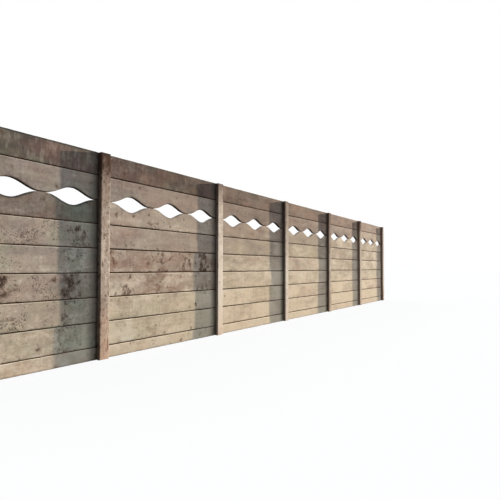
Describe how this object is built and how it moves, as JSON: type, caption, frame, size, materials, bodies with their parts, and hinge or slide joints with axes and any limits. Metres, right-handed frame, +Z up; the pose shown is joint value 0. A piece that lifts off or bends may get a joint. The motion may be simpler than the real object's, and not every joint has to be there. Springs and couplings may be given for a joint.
{
  "type": "precast concrete boundary wall",
  "caption": "Precast concrete boundary wall: slotted posts with stacked interlocking slabs between them, and a row of lens-shaped openings between wave-edged slabs near the top",
  "frame": {"origin": "middle of the middle post's foot, at ground level", "axes": "+X along the wall, to the right of someone who faces its front, +Y through the wall from front to back, +Z up"},
  "size_m": [14.792, 0.152, 2.58],
  "materials": {
    "post_concrete": "matte",
    "slab_concrete": "matte",
    "top_concrete": "matte",
    "ground_concrete": "matte"
  },
  "bodies": {
    "root": {"post_1": "post_concrete", "post_2": "post_concrete", "post_3": "post_concrete", "post_4": "post_concrete", "post_5": "post_concrete", "post_6": "post_concrete", "post_7": "post_concrete", "bay_1_ground_slab": "ground_concrete", "bay_2_ground_slab": "ground_concrete", "bay_3_ground_slab": "ground_concrete", "bay_4_ground_slab": "ground_concrete", "bay_5_ground_slab": "ground_concrete", "bay_6_ground_slab": "ground_concrete", "bay_1_plain_slabs": "slab_concrete", "bay_2_plain_slabs": "slab_concrete", "bay_3_plain_slabs": "slab_concrete", "bay_4_plain_slabs": "slab_concrete", "bay_5_plain_slabs": "slab_concrete", "bay_6_plain_slabs": "slab_concrete", "bay_1_lower_wave_slab": "slab_concrete", "bay_2_lower_wave_slab": "slab_concrete", "bay_3_lower_wave_slab": "slab_concrete", "bay_4_lower_wave_slab": "slab_concrete", "bay_5_lower_wave_slab": "slab_concrete", "bay_6_lower_wave_slab": "slab_concrete", "bay_1_upper_wave_slab": "slab_concrete", "bay_2_upper_wave_slab": "slab_concrete", "bay_3_upper_wave_slab": "slab_concrete", "bay_4_upper_wave_slab": "slab_concrete", "bay_5_upper_wave_slab": "slab_concrete", "bay_6_upper_wave_slab": "slab_concrete", "bay_1_top_slab": "top_concrete", "bay_2_top_slab": "top_concrete", "bay_3_top_slab": "top_concrete", "bay_4_top_slab": "top_concrete", "bay_5_top_slab": "top_concrete", "bay_6_top_slab": "top_concrete"}
  },
  "joints": []
}
